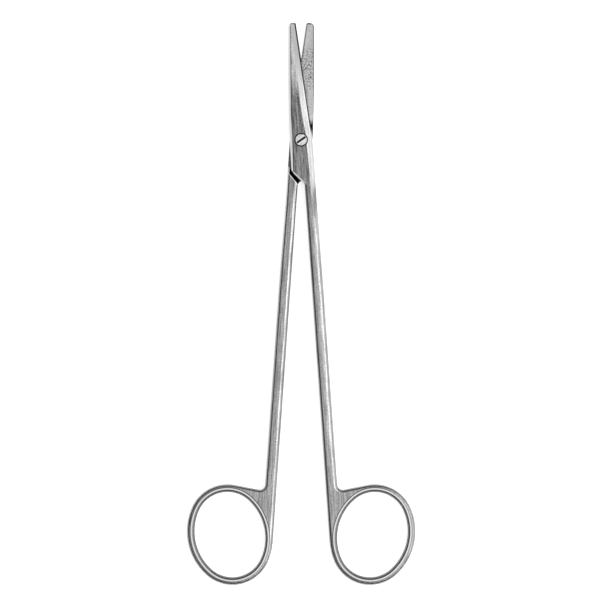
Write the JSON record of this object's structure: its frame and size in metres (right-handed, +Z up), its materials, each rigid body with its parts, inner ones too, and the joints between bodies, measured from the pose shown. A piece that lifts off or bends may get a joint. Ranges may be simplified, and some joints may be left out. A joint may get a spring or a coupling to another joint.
{
  "type": "dissecting scissors",
  "caption": "Slim straight dissecting scissors with blunt tips, long shanks, finger rings and a slotted pivot screw.",
  "frame": {"origin": "on the pivot axis, at the flat underside of the joint, on which the scissors lie", "axes": "+Z up along the pivot axis out of the screw head, +Y towards the blade tips, +X towards the finger ring of the half that carries the screw head"},
  "size_m": [0.0726, 0.1787, 0.0044],
  "materials": {
    "front_half": "satin",
    "rear_half": "satin",
    "pivot_screw": "turned"
  },
  "bodies": {
    "rear": {"rear_half": "rear_half", "pivot_screw": "pivot_screw"},
    "front": {"front_half": "front_half"}
  },
  "joints": [
    {"name": "pivot", "type": "hinge", "parent": "rear", "child": "front", "pos_m": [0, 0, 0.0022], "axis": [0, 0, 1], "range_deg": [-8, 62]}
  ]
}
